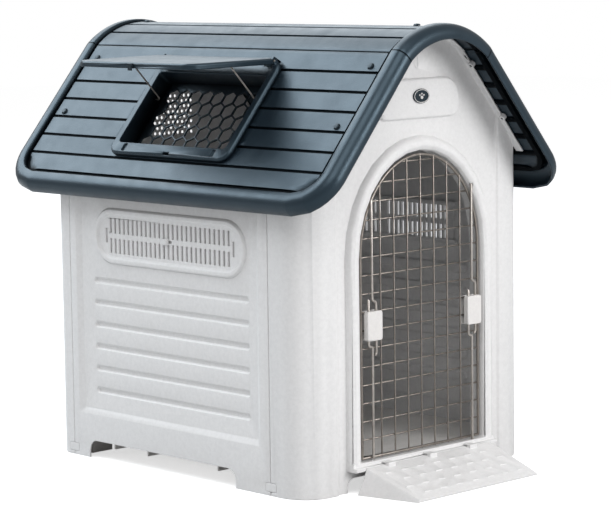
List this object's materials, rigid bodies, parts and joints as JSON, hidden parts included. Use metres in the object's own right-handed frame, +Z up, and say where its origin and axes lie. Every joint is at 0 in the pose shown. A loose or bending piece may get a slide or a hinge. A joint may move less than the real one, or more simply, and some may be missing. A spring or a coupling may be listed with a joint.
{
  "type": "dog house",
  "caption": "Moulded dog house with a round-ridged plank roof, hinged skylight over a hex grille, slatted side vents, arched wire door with sliding latch rods and a hook-on ramp.",
  "frame": {"origin": "on the ground, under the middle of the roof", "axes": "+Z up; the door looks along -Y; +X to the right seen from in front of the door"},
  "size_m": [0.5549, 0.7486, 0.6575],
  "materials": {
    "roof_plastic": "satin",
    "wall_plastic": "satin",
    "floor_plastic": "satin",
    "steel_wire": "plated",
    "dark_trim": "satin"
  },
  "bodies": {
    "house": {"badge": "dark_trim", "clip_front_left": "floor_plastic", "clip_front_right": "floor_plastic", "clip_rear_left": "floor_plastic", "clip_rear_right": "floor_plastic", "floor_base": "floor_plastic", "front_wall": "wall_plastic", "left_wall": "wall_plastic", "lid_pin_front": "steel_wire", "lid_pin_rear": "steel_wire", "rear_wall": "wall_plastic", "right_wall": "wall_plastic", "roof_left": "roof_plastic", "roof_ridge": "roof_plastic", "roof_right": "roof_plastic", "screw_front_left_high": "dark_trim", "screw_front_left_low": "dark_trim", "screw_front_ridge": "dark_trim", "screw_front_right_high": "dark_trim", "screw_front_right_low": "dark_trim", "screw_rear_left_high": "dark_trim", "screw_rear_left_low": "dark_trim", "screw_rear_ridge": "dark_trim", "screw_rear_right_high": "dark_trim", "screw_rear_right_low": "dark_trim", "skylight_frame": "roof_plastic", "skylight_grille": "roof_plastic"},
    "lid": {"skylight_lid": "roof_plastic", "lid_catch": "dark_trim"},
    "stay_front": {"stay_front": "steel_wire"},
    "stay_rear": {"stay_rear": "steel_wire"},
    "shutter_left": {"vent_shutter_left": "wall_plastic"},
    "shutter_right": {"vent_shutter_right": "wall_plastic"},
    "door": {"door_mesh": "steel_wire", "left_latch_grip": "wall_plastic", "left_latch_cover": "wall_plastic", "right_latch_grip": "wall_plastic", "right_latch_cover": "wall_plastic", "left_upper_spring": "steel_wire", "left_lower_spring": "steel_wire", "right_upper_spring": "steel_wire", "right_lower_spring": "steel_wire"},
    "left_upper_rod": {"left_upper_rod": "steel_wire"},
    "left_lower_rod": {"left_lower_rod": "steel_wire"},
    "right_upper_rod": {"right_upper_rod": "steel_wire"},
    "right_lower_rod": {"right_lower_rod": "steel_wire"},
    "ramp": {"ramp": "wall_plastic"}
  },
  "joints": [
    {"name": "lid_hinge", "type": "hinge", "parent": "house", "child": "lid", "pos_m": [-0.12136, 0, 0.60478], "axis": [0, -1, 0], "range_deg": [0, 49]},
    {"name": "stay_front_fold", "type": "hinge", "parent": "house", "child": "stay_front", "pos_m": [-0.14072, 0, 0.54253], "axis": [0, -1, 0], "range_deg": [0, 79.7]},
    {"name": "stay_rear_fold", "type": "hinge", "parent": "house", "child": "stay_rear", "pos_m": [-0.14072, 0, 0.54253], "axis": [0, -1, 0], "range_deg": [0, 79.7]},
    {"name": "shutter_left_slide", "type": "slide", "parent": "house", "child": "shutter_left", "axis": [0, -1, 0], "range_m": [0, 0.005]},
    {"name": "shutter_right_slide", "type": "slide", "parent": "house", "child": "shutter_right", "axis": [0, 1, 0], "range_m": [0, 0.005]},
    {"name": "door_hinge", "type": "hinge", "parent": "house", "child": "door", "pos_m": [0.1045, -0.2884, 0], "axis": [0, 0, -1], "range_deg": [-110, 0]},
    {"name": "left_upper_rod_slide", "type": "slide", "parent": "door", "child": "left_upper_rod", "axis": [0, 0, 1], "range_m": [0, 0.0075], "deforming": ["left_upper_spring"]},
    {"name": "left_lower_rod_slide", "type": "slide", "parent": "door", "child": "left_lower_rod", "axis": [0, 0, -1], "range_m": [0, 0.0075], "deforming": ["left_lower_spring"]},
    {"name": "right_upper_rod_slide", "type": "slide", "parent": "door", "child": "right_upper_rod", "axis": [0, 0, -1], "range_m": [0, 0.0075], "stiffness_N_per_m": 200, "springref_m": -0.005, "deforming": ["right_upper_spring"]},
    {"name": "right_lower_rod_slide", "type": "slide", "parent": "door", "child": "right_lower_rod", "axis": [0, 0, 1], "range_m": [0, 0.0075], "stiffness_N_per_m": 200, "springref_m": -0.005, "deforming": ["right_lower_spring"]},
    {"name": "ramp_hinge", "type": "hinge", "parent": "house", "child": "ramp", "pos_m": [0, -0.2932, 0.0386], "axis": [-1, 0, 0], "range_deg": [0, 28]}
  ],
  "couplings": [
    {"joint": "stay_front_fold", "follows": "lid_hinge", "ratio": 1.625},
    {"joint": "stay_rear_fold", "follows": "lid_hinge", "ratio": 1.625}
  ]
}
